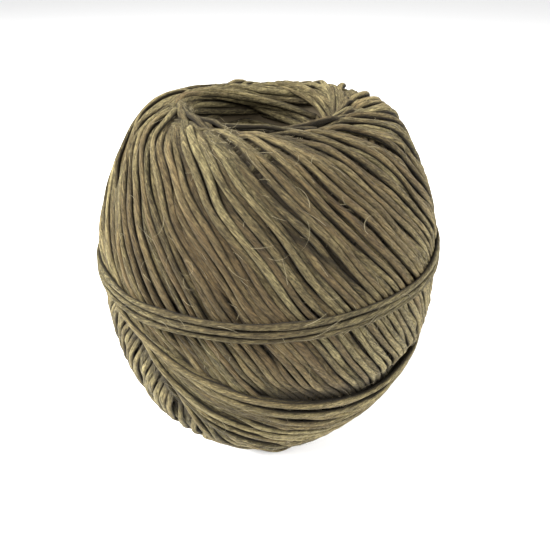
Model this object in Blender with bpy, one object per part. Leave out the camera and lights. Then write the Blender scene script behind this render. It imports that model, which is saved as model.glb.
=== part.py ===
"""Ball of hemp twine, wound slantwise round an open core, with three turns round its waist.

Metres, +Z up, standing on z = 0 with the core hole along Z. Run in Blender 4.5:
blender --background --python part.py
"""

import bmesh
import bpy
import numpy as np

MM = 0.001

# Overall sizes
HEIGHT = 80.0 * MM
WAIST_RADIUS = 35.0 * MM  # out to the crowns of the waist turns

# The section's outer side over the crowns of the twists, foot to rim: radius and level in millimetres
OUTER_SIDE = (
    (13.0, 0.0),
    (18.3, 6.6),
    (23.6, 13.4),
    (28.9, 21.6),
    (33.1, 32.5),
    (34.2, 46.0),
    (33.4, 57.0),
    (30.8, 65.2),
    (27.6, 71.6),
    (23.2, 78.0),
    (16.2, 80.0),
)
# Its inner side, rim to foot down the core hole
INNER_SIDE = (
    (16.2, 80.0),
    (14.5, 78.4),
    (14.0, 74.0),
    (13.2, 58.0),
    (11.6, 32.0),
    (10.0, 8.0),
    (9.3, 2.0),
    (10.2, 0.0),
)

# The slant turns
COLUMNS = 96  # points round the ball
TWIST_COLUMNS = 3  # a main twist is a groove and two crowns, one column each
COLUMN_ANGLE = 2 * np.pi / COLUMNS
TURN_ROWS = COLUMNS // 2  # a strand goes half way round on its way from foot to rim
RIM_TURN_RADIUS = 14.5 * MM  # where a strand turns back at the top
FOOT_TURN_RADIUS = 11.4 * MM  # and at the bottom
GROOVE_SHARE = 0.22  # a groove's depth, as a share of the twist's width
CROWN_SPREAD = 0.05  # how unevenly the crowns stand, as a share of the twist's width
LAST_LOOP_COLUMN = 34  # the last slant loop is highest at the back, to the left, and lowest opposite
LAST_LOOP_LIFTS = (0.14, 0.08, 0.03)  # the newest twists stand proud, as shares of the twist's width

# The loops laid after those lean less and less. They cross at one level and fan out from there.
LEANING_LEVEL = 50.5 * MM
LEANING_SLOPES = (0.44, 0.75, 1.2)  # rise over run
LEANING_LIFT = 0.7 * MM
LEANING_HALF_WIDTH = 2.2 * MM

# The waist turns, laid last of all
WAIST_LEVEL = 53.2 * MM
WAIST_TURNS = 3
WAIST_PITCH = 1.65 * MM
WAIST_VALLEY = 0.7 * MM
WAIST_SWAY = 0.35 * MM

WALL_ROWS = 7
WALL_GROOVE = 0.3 * MM
BODY_SWELL = 0.3 * MM  # how far the wound body strays from round
FOOT_FADE = 4.0 * MM  # the relief dies away over this height above the flat spot
SEED = 11

TWINE_COLOUR = (0.27, 0.21, 0.115, 1.0)
TWINE_ROUGHNESS = 0.85


def smooth_line(points_mm, count):
    """Even steps along a smooth curve through (radius, level) points, as a count by 2 array in metres."""
    points = np.array(points_mm) * MM
    reach = np.concatenate([[0.0], np.cumsum(np.linalg.norm(np.diff(points, axis=0), axis=1))])
    slopes = np.gradient(points, reach, axis=0)
    along = np.linspace(0.0, reach[-1], count)
    cell = np.clip(np.searchsorted(reach, along) - 1, 0, len(reach) - 2)
    span = (reach[cell + 1] - reach[cell])[:, None]
    t = (along - reach[cell])[:, None] / span
    near = (2 * t**3 - 3 * t**2 + 1) * points[cell] + (t**3 - 2 * t**2 + t) * span * slopes[cell]
    far = (3 * t**2 - 2 * t**3) * points[cell + 1] + (t**3 - t**2) * span * slopes[cell + 1]
    return near + far


def angle_gone(side, turn_radius):
    """How far round a taut strand has gone at each point of a side, counted from the side's first point.

    A taut strand keeps radius times the cosine of its slope at its turning radius, so a step along the side
    takes it round by turn_radius / (radius * sqrt(radius^2 - turn_radius^2)) times the step.
    """
    radius = side[:, 0]
    climb = np.sqrt(np.maximum(radius**2 - turn_radius**2, (0.2 * turn_radius) ** 2))
    rate = turn_radius / (radius * climb)
    step = np.linalg.norm(np.diff(side, axis=0), axis=1)
    return np.concatenate([[0.0], np.cumsum(step * (rate[1:] + rate[:-1]) / 2)])


def outer_side():
    """The outer side in fine steps, foot to rim, and the angle a strand has gone from the foot at each."""
    side = smooth_line(OUTER_SIDE, 1500)
    turn_radius = np.interp(side[:, 1], [0.0, HEIGHT], [FOOT_TURN_RADIUS, RIM_TURN_RADIUS])
    gone = angle_gone(side, turn_radius)
    return side, np.pi * gone / gone[-1]


def turn_rows():
    """Rows of the outer side where a strand has gone round by one more column, so twists follow the diagonals."""
    side, gone = outer_side()
    at = np.arange(TURN_ROWS + 1) * COLUMN_ANGLE
    return np.stack([np.interp(at, gone, side[:, 0]), np.interp(at, gone, side[:, 1])], axis=1)


def waist_rows():
    """Rows at the edges, valleys and crowns of the waist turns."""
    side = outer_side()[0]
    level = WAIST_LEVEL + np.arange(-WAIST_TURNS, WAIST_TURNS + 1) * WAIST_PITCH / 2
    return np.stack([np.interp(level, side[:, 1], side[:, 0]), level], axis=1)


def wall_rows():
    """Rows down the core hole, close together over the rim's lip, ending on the flat spot's inner edge."""
    wall = smooth_line(INNER_SIDE, 600)
    share = (np.arange(1, WALL_ROWS + 1) / WALL_ROWS) ** 1.5
    return wall[np.round(share * (len(wall) - 1)).astype(int)]


def build_section():
    """The closed section as (radius, level) rows, each row's step up the twists, and each row's place in the waist.

    The place counts half turns from the middle of the waist, and is NaN off the waist.
    """
    turns = turn_rows()
    clear = WAIST_PITCH * (WAIST_TURNS + 1) / 2
    below = np.flatnonzero(turns[:, 1] < WAIST_LEVEL - clear)
    above = np.flatnonzero(turns[:, 1] > WAIST_LEVEL + clear)
    waist = waist_rows()
    wall = wall_rows()
    points = np.concatenate([turns[below], waist, turns[above], wall])
    waist_steps = np.linspace(below[-1], above[0], len(waist) + 2)[1:-1]
    steps = np.concatenate([below, waist_steps, above, TURN_ROWS + 1 + np.arange(len(wall))])
    place = np.full(len(points), np.nan)
    place[len(below) : len(below) + len(waist)] = np.arange(-WAIST_TURNS, WAIST_TURNS + 1)
    return points, steps, place


def outward(points):
    """Unit normals of the closed section, pointing out of the twine."""
    tangent = np.roll(points, -1, axis=0) - np.roll(points, 1, axis=0)
    normal = np.stack([tangent[:, 1], -tangent[:, 0]], axis=1)
    return normal / np.linalg.norm(normal, axis=1, keepdims=True)


def strand_age(column, step, falling):
    """How many columns ago a twist was laid, in the family that falls (1) or climbs (-1) as the angle grows."""
    from_rim = TURN_ROWS - step
    return (column - LAST_LOOP_COLUMN - falling * from_rim) % COLUMNS


def falls_on_top(column, step):
    """True where the twists that fall with growing angle were laid over those that climb."""
    return strand_age(column, step, 1) <= strand_age(column, step, -1)


def twist_width(radius, level):
    """The width of a main twist, square to the way it runs."""
    turn_radius = np.interp(level, [0.0, HEIGHT], [FOOT_TURN_RADIUS, RIM_TURN_RADIUS])
    climb = np.sqrt(np.maximum(radius**2 - turn_radius**2, (0.2 * turn_radius) ** 2))
    return TWIST_COLUMNS * COLUMN_ANGLE * climb


def twist_lift(column, step, rng):
    """Crowns and grooves of the slant turns, as shares of the twist's width."""
    falling = falls_on_top(column, step)
    age = np.where(falling, strand_age(column, step, 1), strand_age(column, step, -1))
    twist = age // TWIST_COLUMNS
    uneven = rng.normal(0.0, CROWN_SPREAD, (2, COLUMNS // TWIST_COLUMNS))[falling.astype(int), twist]
    lift = np.where(age % TWIST_COLUMNS == 0, -GROOVE_SHARE, uneven)
    newest = np.array(LAST_LOOP_LIFTS + (0.0,))
    return lift + newest[np.minimum(twist, len(LAST_LOOP_LIFTS))]


def leaning_lift(position):
    """The leaning loops lie in tilted planes: each raises the body by how near it is to that plane."""
    tilt_angle = LAST_LOOP_COLUMN * COLUMN_ANGLE
    run = position[:, 0] * np.cos(tilt_angle) + position[:, 1] * np.sin(tilt_angle)
    lift = np.zeros(len(position))
    for slope in LEANING_SLOPES:
        off_plane = (position[:, 2] - LEANING_LEVEL - slope * run) / np.hypot(1.0, slope)
        lift = np.maximum(lift, LEANING_LIFT * np.exp(-((off_plane / LEANING_HALF_WIDTH) ** 2)))
    return lift


def body_swell(angle, step, rng):
    """Slow unevenness round and up the body, as a few seeded waves."""
    swell = np.zeros(len(angle))
    for around in (1, 2, 3, 5):
        size, start, lean = rng.uniform(0.4, 1.0), rng.uniform(0, 2 * np.pi), rng.uniform(-2.0, 2.0)
        swell += size * np.sin(around * angle + start + lean * np.pi * step / TURN_ROWS)
    return BODY_SWELL * swell / 2


def relief(points, steps, place, column, row):
    """How far each vertex stands out of the smooth section."""
    rng = np.random.default_rng(SEED)
    on_wall = steps[row] > TURN_ROWS
    on_body = np.isnan(place[row]) & ~on_wall
    angle = column * COLUMN_ANGLE
    radius, level = points[row].T
    position = np.stack([radius * np.cos(angle), radius * np.sin(angle), level], axis=1)
    twists = twist_lift(column, np.round(steps[row]).astype(int), rng) * twist_width(radius, level)
    lift = np.where(on_body, twists + leaning_lift(position), 0.0)
    lift += np.where(on_wall & ((column + steps[row]) % TWIST_COLUMNS < 0.5), -WALL_GROOVE, 0.0)
    lift += body_swell(angle, steps[row], rng)
    return lift * np.interp(level, [0.0, FOOT_FADE], [0.0, 1.0])


def place_vertices(points, steps, place, column, row):
    """The final position of each vertex, from its column and row."""
    angle = column * COLUMN_ANGLE
    radius, level = (points[row] + outward(points)[row] * relief(points, steps, place, column, row)[:, None]).T
    in_waist = ~np.isnan(place[row])
    crown = in_waist & ((place[row] + WAIST_TURNS) % 2 == 1)
    edge = in_waist & (np.abs(place[row]) == WAIST_TURNS)
    radius = np.where(in_waist, WAIST_RADIUS - WAIST_VALLEY, radius)
    radius = np.where(crown, WAIST_RADIUS, radius)
    radius = np.where(edge, points[row, 0] - WAIST_VALLEY, radius)
    sway = WAIST_SWAY * (np.sin(angle + 2.0) + 0.5 * np.sin(3 * angle + 0.7))
    level = np.where(in_waist, points[row, 1] + sway, level)
    level = np.maximum(level, 0.0) * HEIGHT / level.max()
    return np.stack([radius * np.cos(angle), radius * np.sin(angle), level], axis=1)


def turn_section(mesh_data, points):
    """Turns the closed section round Z into a ring of quads, and tags each vertex with its row."""
    row_tag = mesh_data.verts.layers.int.new("row")
    verts = [mesh_data.verts.new((radius, 0.0, level)) for radius, level in points]
    for row, vert in enumerate(verts):
        vert[row_tag] = row
    edges = [mesh_data.edges.new((verts[row - 1], verts[row])) for row in range(len(verts))]
    bmesh.ops.spin(
        mesh_data,
        geom=verts + edges,
        cent=(0, 0, 0),
        axis=(0, 0, 1),
        angle=2 * np.pi,
        steps=COLUMNS,
        use_merge=True,
        use_duplicate=False,
    )
    return row_tag


def split_along_twists(mesh_data, grid, steps):
    """Cuts each quad along the twist that lies on top there, so that crowns and grooves run unbroken."""
    for face in list(mesh_data.faces):
        corners = sorted(face.verts, key=lambda vert: grid[vert][1])
        low, high = corners[:2], corners[2:]
        if grid[high[1]][1] - grid[low[0]][1] > 1:
            low, high = high, low
        first, second = low
        if (grid[second][0] - grid[first][0]) % COLUMNS != 1:
            first, second = second, first
        left = next(vert for vert in high if grid[vert][0] == grid[first][0])
        right = next(vert for vert in high if vert is not left)
        middle_step = steps[grid[first][1]] + 0.5
        falling = falls_on_top(grid[first][0] + 0.5, min(middle_step, TURN_ROWS))
        bmesh.utils.face_split(face, *((second, left) if falling else (first, right)))


def make_twine_material():
    material = bpy.data.materials.new("hemp_twine")
    material.use_nodes = True
    shader = material.node_tree.nodes["Principled BSDF"]
    shader.inputs["Base Color"].default_value = TWINE_COLOUR
    shader.inputs["Roughness"].default_value = TWINE_ROUGHNESS
    return material


def make_ball(collection):
    """The wound ball as one closed solid."""
    points, steps, place = build_section()
    mesh_data = bmesh.new()
    row_tag = turn_section(mesh_data, points)
    verts = list(mesh_data.verts)
    row = np.array([vert[row_tag] for vert in verts])
    turned = np.array([np.arctan2(vert.co.y, vert.co.x) for vert in verts])
    column = np.round(turned / COLUMN_ANGLE).astype(int) % COLUMNS
    for vert, position in zip(verts, place_vertices(points, steps, place, column, row)):
        vert.co = position
    split_along_twists(mesh_data, dict(zip(verts, zip(column, row))), steps)
    bmesh.ops.recalc_face_normals(mesh_data, faces=mesh_data.faces)
    mesh = bpy.data.meshes.new("twine_ball")
    mesh_data.to_mesh(mesh)
    mesh_data.free()
    mesh.shade_smooth()
    mesh.materials.append(make_twine_material())
    ball = bpy.data.objects.new("twine_ball", mesh)
    collection.objects.link(ball)


def main():
    for leftover in list(bpy.data.objects):
        bpy.data.objects.remove(leftover)
    collection = bpy.data.collections.new("ball_of_hemp_twine")
    bpy.context.scene.collection.children.link(collection)
    make_ball(collection)


main()
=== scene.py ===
# %% [markdown]
# # A ball of hemp twine
# One length of soft, lightly twisted hemp twine is wound slantwise round an open core, over and over, until
# it makes a ball. The last few loops lean less and less, and the very last turns lie side by side round the
# waist. The packed solid gives the size and place. This lesson winds real strands over it, one loop after
# another, so that each strand rests on those laid before it.

import bpy
import numpy as np
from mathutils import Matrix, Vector


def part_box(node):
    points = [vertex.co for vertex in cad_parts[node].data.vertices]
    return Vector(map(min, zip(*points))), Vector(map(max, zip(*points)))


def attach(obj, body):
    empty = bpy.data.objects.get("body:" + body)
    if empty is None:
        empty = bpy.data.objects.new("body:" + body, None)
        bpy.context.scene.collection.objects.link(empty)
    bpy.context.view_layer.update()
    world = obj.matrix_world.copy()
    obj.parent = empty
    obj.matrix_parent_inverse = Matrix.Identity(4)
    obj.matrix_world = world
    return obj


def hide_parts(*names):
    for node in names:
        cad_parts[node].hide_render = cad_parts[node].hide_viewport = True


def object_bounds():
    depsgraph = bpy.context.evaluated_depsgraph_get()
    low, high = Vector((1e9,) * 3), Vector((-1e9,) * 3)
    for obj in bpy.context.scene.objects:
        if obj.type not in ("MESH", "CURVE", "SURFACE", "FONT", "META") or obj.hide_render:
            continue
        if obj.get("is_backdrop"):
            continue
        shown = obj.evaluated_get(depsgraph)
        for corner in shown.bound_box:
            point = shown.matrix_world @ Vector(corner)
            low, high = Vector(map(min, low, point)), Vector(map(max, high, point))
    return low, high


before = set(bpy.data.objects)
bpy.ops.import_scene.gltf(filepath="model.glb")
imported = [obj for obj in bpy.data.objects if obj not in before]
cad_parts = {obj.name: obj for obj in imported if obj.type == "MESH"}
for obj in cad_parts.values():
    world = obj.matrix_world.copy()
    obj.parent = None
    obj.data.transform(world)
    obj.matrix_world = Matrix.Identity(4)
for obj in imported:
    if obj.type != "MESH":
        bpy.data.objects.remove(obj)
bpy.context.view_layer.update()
low_corner, high_corner = (np.array(corner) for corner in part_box("twine_ball"))
MM = 0.001
BALL_HEIGHT = (high_corner[2] - low_corner[2]) / MM
BALL_RADIUS = (high_corner[0] - low_corner[0]) / 2 / MM
print(f"the ball is {2 * BALL_RADIUS:.1f} mm across and {BALL_HEIGHT:.1f} mm high")

# %% [markdown]
# ## The camera
# A ball of twine is small, so a camera that fills its frame with one stands close: here 11 cm from the
# ball's middle, looking down. So near, the ball's top is seen almost level and its lower half steeply from
# above. A longer lens from further off would frame it as well, but the mouth would look rounder.

# %% Place the camera
CAMERA_DISTANCE = 110.0  # mm
CAMERA_ELEVATION = np.radians(30.5)
AIM_LEVEL = 47.1  # mm up
SENSOR_WIDTH, LENS = 36.0, 33.45  # mm
SHIFT = (0.0118, -0.0376)  # of the frame's width: the ball sits a little left of the middle and above it
NEAREST = 0.005  # m, closer than Blender draws unless told

camera_data = bpy.data.cameras.new("camera")
camera_data.sensor_width = SENSOR_WIDTH
camera_data.lens = LENS
camera_data.shift_x, camera_data.shift_y = SHIFT
camera_data.clip_start = NEAREST
camera = bpy.data.objects.new("camera", camera_data)
bpy.context.scene.collection.objects.link(camera)
aim = Vector((0.0, 0.0, AIM_LEVEL * MM))
view_line = Vector((0.0, np.cos(CAMERA_ELEVATION), -np.sin(CAMERA_ELEVATION)))
camera.location = aim - view_line * CAMERA_DISTANCE * MM
camera.rotation_euler = view_line.to_track_quat("-Z", "Y").to_euler()
bpy.context.scene.camera = camera
print(f"the camera is {CAMERA_DISTANCE:.0f} mm away, looking down {np.degrees(CAMERA_ELEVATION):.1f} degrees")

# %% [markdown]
# ## The section of the ball
# Cut through its axis, a wound ball shows one closed outline: a small flat foot, a full side, a rounded
# rim, and the wall of the core hole. It could be drawn as arcs, but no stretch of a wound ball is a true
# one. So it is a smooth curve through a few points. Everything later is laid out on it: a place on the ball
# is a distance s along the outline, an angle round the axis, and a height over the outline.

# %% Draw the section
SECTION_POINTS = np.array(  # mm from the axis and mm up: out from the foot, up the side, and down the hole
    [
        (10.2, 0.0),
        (11.6, 0.0),
        (13.0, 0.15),
        (18.3, 6.6),
        (23.6, 13.4),
        (28.9, 21.6),
        (33.1, 32.5),
        (34.2, 46.0),
        (33.4, 57.0),
        (30.8, 65.2),
        (27.6, 71.6),
        (23.2, 77.7),
        (19.2, 79.4),
        (16.2, 79.7),
        (14.6, 78.4),
        (14.0, 74.5),
        (13.4, 62.0),
        (12.4, 44.0),
        (11.0, 20.0),
        (10.2, 4.0),
    ]
)
SECTION_STEP = 0.1  # mm along the outline
FOOT_END = 1.4  # mm along it, where the flat foot ends


def smooth_curve(points, step):
    """Even steps along a smooth curve: each stretch is a cubic, with the slopes of its neighbours' chords."""
    reach = np.concatenate([[0.0], np.cumsum(np.linalg.norm(np.diff(points, axis=0), axis=1))])
    slopes = np.gradient(points, reach, axis=0)
    along = np.arange(0.0, reach[-1], step)
    cell = np.clip(np.searchsorted(reach, along, side="right") - 1, 0, len(reach) - 2)
    span = (reach[cell + 1] - reach[cell])[:, None]
    t = (along - reach[cell])[:, None] / span
    near = (2 * t**3 - 3 * t**2 + 1) * points[cell] + (t**3 - 2 * t**2 + t) * span * slopes[cell]
    far = (3 * t**2 - 2 * t**3) * points[cell + 1] + (t**3 - t**2) * span * slopes[cell + 1]
    return near + far


section = smooth_curve(SECTION_POINTS, SECTION_STEP)
section_s = np.arange(len(section)) * SECTION_STEP
section_r, section_z = section.T
tangent = np.gradient(section, section_s, axis=0)
tangent /= np.linalg.norm(tangent, axis=1, keepdims=True)
normal_r, normal_z = tangent[:, 1], -tangent[:, 0]
WIDEST_S = section_s[np.argmax(section_r)]
outer = section_s < section_s[np.argmax(section_z)]
rim_side = section_s > WIDEST_S
foot_side = (section_s < WIDEST_S) & (section_s > FOOT_END)
print(f"the section is {section_s[-1]:.0f} mm long, widest {section_r.max():.1f} mm")

# %% [markdown]
# ## A ball that isn't quite round
# Twine is wound by hand or on a simple spindle, so the mouth, the rim and the lower side are a little
# uneven. A few soft bumps, added where a place on the ball is turned into a point, move every strand in the
# same way.

# %% Put places on the ball
MOUTH_PINCHES = ((5, 2.3, 0.9),)  # degrees round the ball, how much in mm, and how wide in radians
RIM_RISES = ((160, 0.8, 0.7), (38, 0.9, 0.6))
SIDE_BULGES = ((228, 1.0, 0.45), (305, -0.9, 0.6))
PINCH_RADIUS, PINCH_EASE = 21.0, 6.0  # mm from the axis, where the pinch starts, and how far to its full size
PINCH_LEVEL, PINCH_RISE = 45.0, 30.0  # mm up
RISE_LEVEL, RISE_EASE = 62.0, 16.0
BULGE_LEVEL, BULGE_REACH = 20.0, 12.0
BULGE_RADIUS = 15.0  # mm from the axis: the hole's wall has no bulges


def at_s(values, s):
    """A section property read at distances s along the outline."""
    return np.interp(s, section_s, values)


def ramp(value, start, reach):
    """0 up to the start, 1 from start + reach on, and straight between. It falls if reach is negative."""
    return np.clip((value - start) / reach, 0, 1)


def eased(t):
    """A straight change from 0 to 1 made soft at both ends: t^2 (3 - 2 t)."""
    return t * t * (3 - 2 * t)


def bumps(angle, places):
    """The sum of soft bumps round the ball: each is size * exp(-(angle from its middle / width)^2)."""
    turned = [(angle - np.radians(middle) + np.pi) % (2 * np.pi) - np.pi for middle, _, _ in places]
    return sum(size * np.exp(-((turn / width) ** 2)) for turn, (_, size, width) in zip(turned, places))


def on_ball(s, angle, height):
    """The point at s along the outline and angle round it, raised by height along the outline's normal."""
    radius = at_s(section_r, s) + at_s(normal_r, s) * height
    level = at_s(section_z, s) + at_s(normal_z, s) * height
    at_mouth = ramp(radius, PINCH_RADIUS, -PINCH_EASE) * ramp(level, PINCH_LEVEL, PINCH_RISE)
    low = np.where(radius > BULGE_RADIUS, np.exp(-(((level - BULGE_LEVEL) / BULGE_REACH) ** 2)), 0.0)
    radius = radius - at_mouth * bumps(angle, MOUTH_PINCHES) + low * bumps(angle, SIDE_BULGES)
    level = level + ramp(level, RISE_LEVEL, RISE_EASE) ** 2 * bumps(angle, RIM_RISES)
    return np.stack([radius * np.cos(angle), radius * np.sin(angle), level], axis=-1)


def outward_at(s, angle):
    """The ball's outward direction at a place on the outline."""
    flat = at_s(normal_r, s)
    return np.stack([flat * np.cos(angle), flat * np.sin(angle), at_s(normal_z, s)], axis=-1)


ROUND_BALL = np.linspace(0, 2 * np.pi, 360)
rim_level = on_ball(section_s[np.argmax(section_z)], ROUND_BALL, 0.0)[:, 2]
print(f"the rim is {rim_level.min():.1f} to {rim_level.max():.1f} mm up")

# %% [markdown]
# ## How a slant loop runs
# A taut strand takes the shortest way over a curved surface. On a round body its distance from the axis
# times the sine of its lean stays the same, so it turns back where it gets as near to the axis as that
# number. Twine grips the twine below, so here the number may change slowly on the way from rim to foot: it
# leans most at the middle. A loop could be traced step by step, but its angle is a running sum, so all
# loops are worked out at once.

# %% Work out the ways of half a loop
STRAND_STEP = 0.25  # mm between the points of a strand
CROSSING_LEVEL = 46.5  # the last slant loop and the leaning loops all cross near here, mm up
CROSSING_S = np.interp(CROSSING_LEVEL, section_z[outer], section_s[outer])
RIM_TURN_RADIUS = (15.0, 1.1)  # smallest and spread, mm
FOOT_TURN_RADIUS = (12.0, 0.6)
TURN_EASE = 9.0  # mm along the outline, over which a loop's own turning radius gives way to the usual number
MOST_TURN = 0.9995  # of the radius, where a strand runs level
WAY_POINTS = 900
LEAN_LEVELS = np.array(  # mm up the ball, and the turning number there, mm
    [
        (0.0, 12.2),
        (7.0, 11.2),
        (15.0, 10.8),
        (23.0, 12.6),
        (31.0, 16.2),
        (39.0, 18.7),
        (48.0, 19.3),
        (58.0, 18.8),
        (66.0, 18.2),
        (73.0, 16.8),
        (78.0, 14.7),
        (80.0, 14.2),
    ]
)


def half_loops(rim_radius, foot_radius, lean, fall):
    """The ways from the rim down to the foot, one row a loop: s along the outline, and angle gone round.

    A step ds takes the strand round by c / (r sqrt(r^2 - c^2)) ds, where c is the turning number there.
    Above the crossing c is larger by the share "lean", and below it smaller by the share "fall". The steps
    are short at both ends, where the strand turns.
    """
    top = np.interp(-rim_radius, -section_r[rim_side], section_s[rim_side])[:, None]
    bottom = np.interp(foot_radius, section_r[foot_side], section_s[foot_side])[:, None]
    s = bottom + (top - bottom) * (0.5 + 0.5 * np.cos(np.linspace(0, np.pi, WAY_POINTS)))
    middle = (s[:, 1:] + s[:, :-1]) / 2
    above = ramp(middle, CROSSING_S, top - CROSSING_S)
    below = ramp(middle, bottom, CROSSING_S - bottom)
    turn = np.interp(at_s(section_z, middle), *LEAN_LEVELS.T)
    turn = turn * (1 + lean[:, None] * np.sin(np.pi * above) ** 2)
    turn *= 1 - fall[:, None] * np.sin(np.pi * below) ** 2
    turn += (rim_radius[:, None] - RIM_TURN_RADIUS[0]) * np.exp(-((top - middle) / TURN_EASE))
    turn += (foot_radius[:, None] - FOOT_TURN_RADIUS[0]) * np.exp(-((middle - bottom) / TURN_EASE))
    radius = at_s(section_r, middle)
    turn = np.minimum(turn, radius * MOST_TURN)
    gone = -np.diff(s, axis=1) * turn / (radius * np.sqrt(radius**2 - turn**2))
    return s, np.concatenate([np.zeros((len(s), 1)), np.cumsum(gone, axis=1)], axis=1)


def even_steps(s, angle):
    """The same way in even steps of STRAND_STEP along the strand."""
    length = np.hypot(np.diff(s), np.diff(angle) * at_s(section_r, (s[1:] + s[:-1]) / 2))
    reach = np.concatenate([[0.0], np.cumsum(length)])
    along = np.arange(0.0, reach[-1], STRAND_STEP)
    return np.interp(along, reach, s), np.interp(along, reach, angle)


no_change = np.zeros(1)
(plain_s,), (plain_angle,) = half_loops(
    RIM_TURN_RADIUS[0] + no_change, FOOT_TURN_RADIUS[0] + no_change, no_change, no_change
)
print(f"a strand goes round by {np.degrees(plain_angle[-1]):.0f} degrees from rim to foot,")
print(f"and by {np.degrees(np.interp(-WIDEST_S, -plain_s, plain_angle)):.0f} to the widest level")

# %% [markdown]
# ## Which loops show
# Side by side round the middle of the ball, the loops have no room for all of them nearer the rim and the
# foot. There some slip under their neighbours. Leaving out every second or third loop would look regular,
# so each loop has a number from a series that is even for any share of it, and it shows where there is room
# for that.

# %% Share out the room
LOOPS_ROUND = 138  # slant loops side by side, once round the ball
LEAST_SHOWN = 0.70  # where they crowd most, the share of the loops that still shows
LOW_SHARE = 0.75  # and the share low on the side, where the winding is looser
LOOSE_LEVELS = (20.0, 35.0)  # mm up
GOLDEN = 0.618034  # the golden ratio's fraction: its multiples fill any share of the series evenly
ALWAYS_SHOWN = 16.0  # the last few loops laid, which nothing newer hides
SLIP = 0.10  # the change in room over which a loop slips out of sight
NEIGHBOURS = 4  # on each side, that move together
SHARED_LEVELS = 200
SHARED_TO_RADIUS = 14.9  # mm, just inside the rim


def shares_in_sight(count):
    """How much of each loop shows at each level, and how far that moves it aside, in pitches, newest first.

    The room at a level is sqrt(r^2 - c^2), as a share of the widest level's. A loop shows where the room is
    more than its own number, the fractional part of 0.618 j. The last few laid always show, so their numbers
    are made smaller. The loops that show lie evenly, so a loop's place is the sum of those before it, divided
    by their mean. Only its difference from its neighbours' counts, as whole bands of twine don't move.
    """
    rim_s = np.interp(-SHARED_TO_RADIUS, -section_r[rim_side], section_s[rim_side])
    levels = np.linspace(0.0, rim_s, SHARED_LEVELS)
    height = at_s(section_z, levels)
    turn = np.interp(height, *LEAN_LEVELS.T)
    room = np.sqrt(np.maximum(at_s(section_r, levels) ** 2 - turn**2, 0.0))
    room = np.clip(room / room.max(), LEAST_SHOWN, 1.0) * np.interp(height, LOOSE_LEVELS, (LOW_SHARE, 1.0))
    number = (GOLDEN * np.arange(count) % 1.0) * np.clip(np.arange(count) / ALWAYS_SHOWN, 0, 1)
    shown = eased(np.clip((room - number[:, None]) / SLIP + 1.0, 0, 1))
    aside = (np.cumsum(shown, axis=0) - shown / 2) / shown.mean(axis=0) - np.arange(count)[:, None]
    padded = np.pad(aside, ((NEIGHBOURS, NEIGHBOURS), (0, 0)), mode="edge")
    aside -= sum(padded[k : k + count] for k in range(2 * NEIGHBOURS + 1)) / (2 * NEIGHBOURS + 1)
    return levels, shown, aside


print(f"{100 * shares_in_sight(LOOPS_ROUND)[1][:, -1].mean():.0f} in 100 loops show at the rim")

# %% [markdown]
# ## Laying out the slant loops
# A winder never lays two loops quite alike: the spacing wavers, now and then a gap is left, and neighbours
# drift together as the ball is turned in the hand. The last loops bunch together, and below the crossing
# they run down more steeply. Drawing these changes at random, but slowly from loop to loop, looks like that.

# %% Lay out the slant loops
ROUNDS = 1.7  # of loops laid here: those before them would be hidden
CROSSING_ANGLE = np.radians(229.0)
NEWEST_LEAN = 0.10  # the last loops lean more by this share above the crossing
NEWEST_FALL = 0.65  # and less by this share below it
NEWEST_ROUND = 0.15  # the part of a round over which the lean comes back to the usual
CLIMB_FALL = 0.45  # on the way up from the foot each loop leans less, by this share, below the crossing
BUNCH = 7.0  # so many loops' room is left out where the last ones bunch together
SPACING_SPREAD = 0.09  # of a strand's pitch
GAP_SHARE, GAP_WIDTH = 0.08, 0.3  # how often the winder leaves a gap, and its width as a share of the pitch
DRIFT_LOOPS, DRIFT_REACH = 3.5, 9  # loops over which turning radii drift together, and how many are read
DRIFT_SHARE, OWN_SHARE = 0.8, 0.4  # how much of a change is drift, and how much is a loop's own
TURN_DIVE = 0.3  # mm from where a loop turns, over which it dives out of sight
rng = np.random.default_rng(6)


def slow_change(count, smallest, spread):
    """Values for loop after loop that mostly drift together with their neighbours, a little on their own."""
    blur = np.exp(-((np.arange(-DRIFT_REACH, DRIFT_REACH + 1) / DRIFT_LOOPS) ** 2) / 2)
    blur /= np.sqrt((blur**2).sum())
    together = np.convolve(rng.normal(0, 1, count + 2 * DRIFT_REACH), blur, mode="valid")
    return smallest + spread * np.abs(DRIFT_SHARE * together + OWN_SHARE * rng.normal(0, 1, count))


def places_ahead(age, newest):
    """How far each loop lies before the newest, in pitches: its age, less the bunching, plus gaps."""
    count = len(age)
    gap = (rng.random(count) < GAP_SHARE) * GAP_WIDTH - GAP_SHARE * GAP_WIDTH
    drift = np.cumsum(gap[::-1])[::-1]
    drift -= np.linspace(drift[0], drift[-1], count)
    return age - BUNCH * (1 - newest) + drift + SPACING_SPREAD * rng.normal(0, 1, count)


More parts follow.
